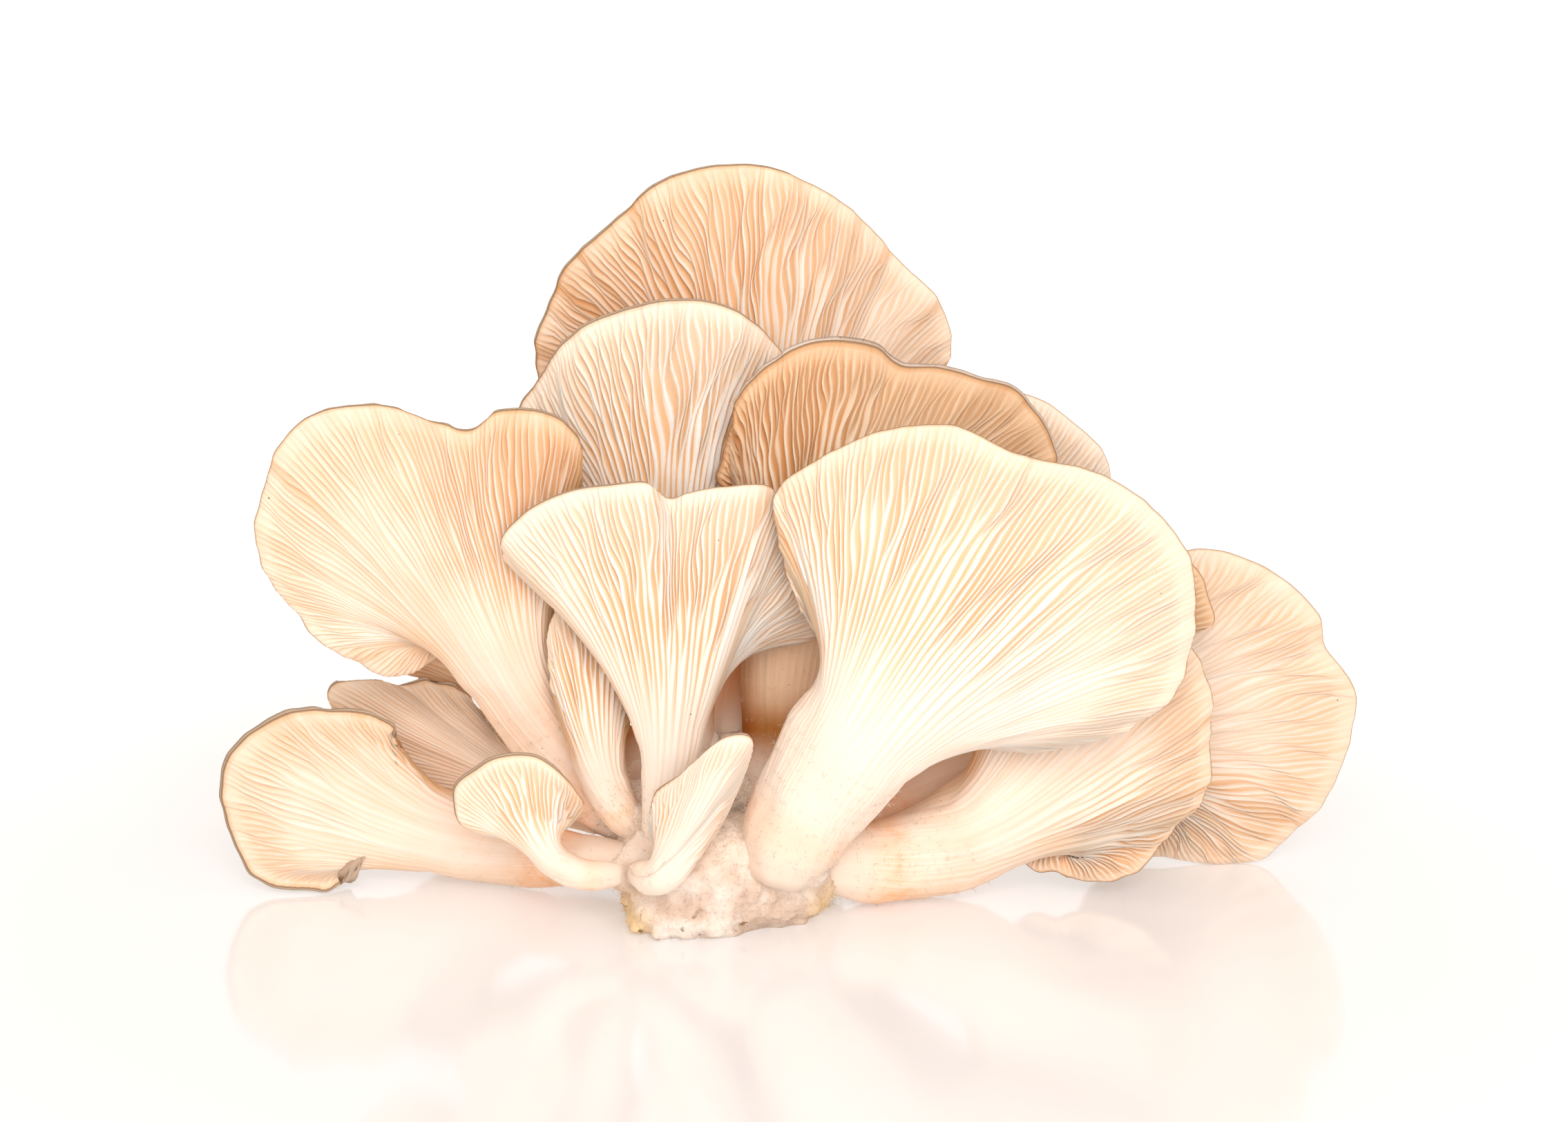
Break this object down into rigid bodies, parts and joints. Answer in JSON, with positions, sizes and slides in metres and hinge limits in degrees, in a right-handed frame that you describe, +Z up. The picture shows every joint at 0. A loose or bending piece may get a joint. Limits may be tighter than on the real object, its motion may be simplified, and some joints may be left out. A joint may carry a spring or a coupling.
{
  "type": "oyster mushroom cluster",
  "caption": "Cluster of fan-shaped oyster mushrooms with gills running down pale stems to one cut butt, which it rests on.",
  "frame": {"origin": "on the cut face of the butt, 12 mm in front of that face's middle, at the level the cluster rests on", "axes": "+X to the right across the widest spread of caps, +Y from the gill side to the back, +Z up"},
  "size_m": [0.2288, 0.0948, 0.1433],
  "materials": {
    "butt_flesh": "matt, fuzzy pale mycelium",
    "cream_flesh": "soft satin mushroom flesh, warm cream",
    "pale_flesh": "soft satin mushroom flesh, pale cream",
    "tan_flesh": "soft satin mushroom flesh, tan"
  },
  "bodies": {
    "root": {"butt": "butt_flesh", "mushroom_top": "cream_flesh", "mushroom_upper_left": "pale_flesh", "mushroom_upper_right": "tan_flesh", "mushroom_back_right": "pale_flesh", "mushroom_left": "cream_flesh", "mushroom_front": "pale_flesh", "mushroom_right": "cream_flesh", "mushroom_far_right": "cream_flesh", "mushroom_low_right": "cream_flesh", "mushroom_behind_right": "tan_flesh", "mushroom_low_left": "cream_flesh", "mushroom_back_left": "tan_flesh", "mushroom_behind_left": "tan_flesh", "mushroom_small_left": "pale_flesh", "mushroom_small_middle": "pale_flesh", "mushroom_slim": "tan_flesh"}
  },
  "joints": []
}
